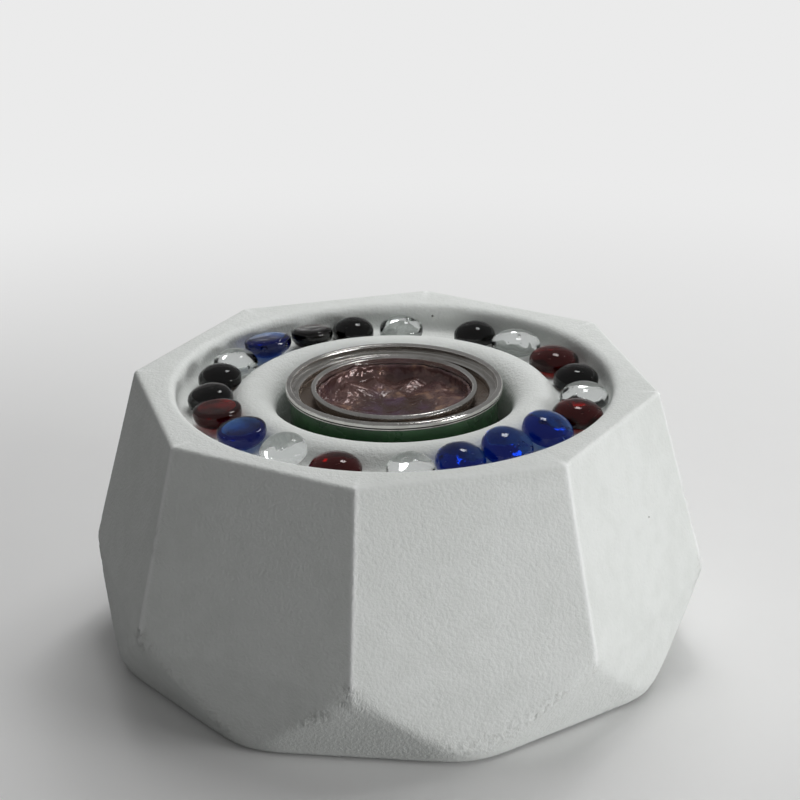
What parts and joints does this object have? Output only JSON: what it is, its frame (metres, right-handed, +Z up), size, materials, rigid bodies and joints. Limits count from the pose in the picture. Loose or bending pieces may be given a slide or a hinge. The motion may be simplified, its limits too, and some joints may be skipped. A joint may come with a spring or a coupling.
{
  "type": "tabletop fire bowl",
  "caption": "Faceted cast-stone tabletop fire bowl with loose glass beads in a ring channel round a deep well, which holds a seamed can of gel fuel.",
  "frame": {"origin": "on the table under the middle of the bowl, at the underside of its pads", "axes": "+Z up, along the axis of the bowl, the well and the can; X and Y each square to a facet of the rim"},
  "size_m": [0.2336, 0.2336, 0.1156],
  "materials": {
    "concrete": "matte cast concrete, pale grey-white",
    "pad_rubber": "matte black",
    "can_paint": "gloss green print on tinplate",
    "tinplate": "bright rolled tinplate",
    "gel": "wet, glossy set gel",
    "glass_amber": "polished amber-red glass",
    "glass_clear": "polished clear glass",
    "glass_cobalt": "polished cobalt glass",
    "glass_smoke": "polished near-black glass"
  },
  "bodies": {
    "bowl": {"fire_bowl": "concrete", "foot_pad_1": "pad_rubber", "foot_pad_2": "pad_rubber", "foot_pad_3": "pad_rubber", "foot_pad_4": "pad_rubber"},
    "fuel_can": {"can_body": "can_paint", "can_bottom": "tinplate", "can_ring": "tinplate", "fuel_gel": "gel"},
    "bead_amber_1": {"bead_amber_1": "glass_amber"},
    "bead_amber_2": {"bead_amber_2": "glass_amber"},
    "bead_amber_3": {"bead_amber_3": "glass_amber"},
    "bead_amber_4": {"bead_amber_4": "glass_amber"},
    "bead_clear_1": {"bead_clear_1": "glass_clear"},
    "bead_clear_2": {"bead_clear_2": "glass_clear"},
    "bead_clear_3": {"bead_clear_3": "glass_clear"},
    "bead_clear_4": {"bead_clear_4": "glass_clear"},
    "bead_clear_5": {"bead_clear_5": "glass_clear"},
    "bead_clear_6": {"bead_clear_6": "glass_clear"},
    "bead_cobalt_1": {"bead_cobalt_1": "glass_cobalt"},
    "bead_cobalt_2": {"bead_cobalt_2": "glass_cobalt"},
    "bead_cobalt_3": {"bead_cobalt_3": "glass_cobalt"},
    "bead_cobalt_4": {"bead_cobalt_4": "glass_cobalt"},
    "bead_cobalt_5": {"bead_cobalt_5": "glass_cobalt"},
    "bead_smoke_1": {"bead_smoke_1": "glass_smoke"},
    "bead_smoke_2": {"bead_smoke_2": "glass_smoke"},
    "bead_smoke_3": {"bead_smoke_3": "glass_smoke"},
    "bead_smoke_4": {"bead_smoke_4": "glass_smoke"},
    "bead_smoke_5": {"bead_smoke_5": "glass_smoke"},
    "bead_smoke_6": {"bead_smoke_6": "glass_smoke"}
  },
  "joints": [
    {"name": "fuel_can_lift", "type": "slide", "parent": "bowl", "child": "fuel_can", "axis": [0, 0, 1], "range_m": [0, 0.11]},
    {"name": "bead_amber_1_lift", "type": "slide", "parent": "bowl", "child": "bead_amber_1", "axis": [0, 0, 1], "range_m": [0, 0.03]},
    {"name": "bead_amber_2_lift", "type": "slide", "parent": "bowl", "child": "bead_amber_2", "axis": [0, 0, 1], "range_m": [0, 0.03]},
    {"name": "bead_amber_3_lift", "type": "slide", "parent": "bowl", "child": "bead_amber_3", "axis": [0, 0, 1], "range_m": [0, 0.03]},
    {"name": "bead_amber_4_lift", "type": "slide", "parent": "bowl", "child": "bead_amber_4", "axis": [0, 0, 1], "range_m": [0, 0.03]},
    {"name": "bead_clear_1_lift", "type": "slide", "parent": "bowl", "child": "bead_clear_1", "axis": [0, 0, 1], "range_m": [0, 0.03]},
    {"name": "bead_clear_2_lift", "type": "slide", "parent": "bowl", "child": "bead_clear_2", "axis": [0, 0, 1], "range_m": [0, 0.03]},
    {"name": "bead_clear_3_lift", "type": "slide", "parent": "bowl", "child": "bead_clear_3", "axis": [0, 0, 1], "range_m": [0, 0.03]},
    {"name": "bead_clear_4_lift", "type": "slide", "parent": "bowl", "child": "bead_clear_4", "axis": [0, 0, 1], "range_m": [0, 0.03]},
    {"name": "bead_clear_5_lift", "type": "slide", "parent": "bowl", "child": "bead_clear_5", "axis": [0, 0, 1], "range_m": [0, 0.03]},
    {"name": "bead_clear_6_lift", "type": "slide", "parent": "bowl", "child": "bead_clear_6", "axis": [0, 0, 1], "range_m": [0, 0.03]},
    {"name": "bead_cobalt_1_lift", "type": "slide", "parent": "bowl", "child": "bead_cobalt_1", "axis": [0, 0, 1], "range_m": [0, 0.03]},
    {"name": "bead_cobalt_2_lift", "type": "slide", "parent": "bowl", "child": "bead_cobalt_2", "axis": [0, 0, 1], "range_m": [0, 0.03]},
    {"name": "bead_cobalt_3_lift", "type": "slide", "parent": "bowl", "child": "bead_cobalt_3", "axis": [0, 0, 1], "range_m": [0, 0.03]},
    {"name": "bead_cobalt_4_lift", "type": "slide", "parent": "bowl", "child": "bead_cobalt_4", "axis": [0, 0, 1], "range_m": [0, 0.03]},
    {"name": "bead_cobalt_5_lift", "type": "slide", "parent": "bowl", "child": "bead_cobalt_5", "axis": [0, 0, 1], "range_m": [0, 0.03]},
    {"name": "bead_smoke_1_lift", "type": "slide", "parent": "bowl", "child": "bead_smoke_1", "axis": [0, 0, 1], "range_m": [0, 0.03]},
    {"name": "bead_smoke_2_lift", "type": "slide", "parent": "bowl", "child": "bead_smoke_2", "axis": [0, 0, 1], "range_m": [0, 0.03]},
    {"name": "bead_smoke_3_lift", "type": "slide", "parent": "bowl", "child": "bead_smoke_3", "axis": [0, 0, 1], "range_m": [0, 0.03]},
    {"name": "bead_smoke_4_lift", "type": "slide", "parent": "bowl", "child": "bead_smoke_4", "axis": [0, 0, 1], "range_m": [0, 0.03]},
    {"name": "bead_smoke_5_lift", "type": "slide", "parent": "bowl", "child": "bead_smoke_5", "axis": [0, 0, 1], "range_m": [0, 0.03]},
    {"name": "bead_smoke_6_lift", "type": "slide", "parent": "bowl", "child": "bead_smoke_6", "axis": [0, 0, 1], "range_m": [0, 0.03]}
  ]
}
